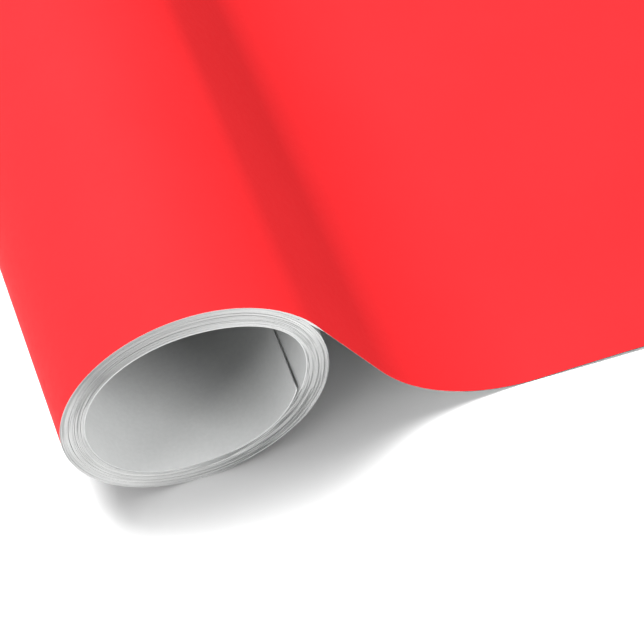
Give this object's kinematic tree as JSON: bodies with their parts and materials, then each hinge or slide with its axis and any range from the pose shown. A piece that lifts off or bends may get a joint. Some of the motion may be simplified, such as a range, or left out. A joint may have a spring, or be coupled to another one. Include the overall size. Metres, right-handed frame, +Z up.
{
  "type": "backdrop paper roll",
  "caption": "Coreless roll of coated backdrop paper lying on its side, with the sheet's free end running down and out flat along the floor.",
  "frame": {"origin": "on the roll's axis, half way along the roll", "axes": "+Y along the roll, +X the way the sheet runs out, +Z up"},
  "size_m": [0.414, 0.68, 0.0698],
  "materials": {
    "coated_face": "satin coated",
    "paper_back": "uncoated matt"
  },
  "bodies": {
    "wrap": {"outer_turn": "coated_face", "shoulder": "coated_face", "slope": "coated_face", "landing_curve_upper": "coated_face", "landing_curve_middle": "coated_face", "landing_curve_lower": "coated_face"},
    "roll": {"turn_02": "paper_back", "turn_03": "paper_back", "turn_04": "paper_back", "turn_05": "paper_back", "turn_06": "paper_back", "turn_07": "paper_back", "turn_08": "paper_back", "turn_09": "paper_back", "turn_10": "paper_back", "turn_11": "paper_back", "turn_12": "paper_back", "turn_13": "paper_back", "turn_14": "paper_back", "turn_15": "paper_back", "turn_16": "paper_back", "turn_17": "paper_back", "inner_tail": "paper_back"},
    "lead": {"lead_sheet": "coated_face"}
  },
  "joints": [
    {"name": "roll_turn", "type": "hinge", "parent": "wrap", "child": "roll", "pos_m": [0, 0, 0], "axis": [0, 1, 0], "range_deg": [0, 360]},
    {"name": "sheet_feed", "type": "slide", "parent": "wrap", "child": "lead", "axis": [1, 0, 0], "range_m": [0, 0.22]}
  ],
  "couplings": [
    {"joint": "sheet_feed", "follows": "roll_turn", "m_per_rad": 0.03477}
  ]
}
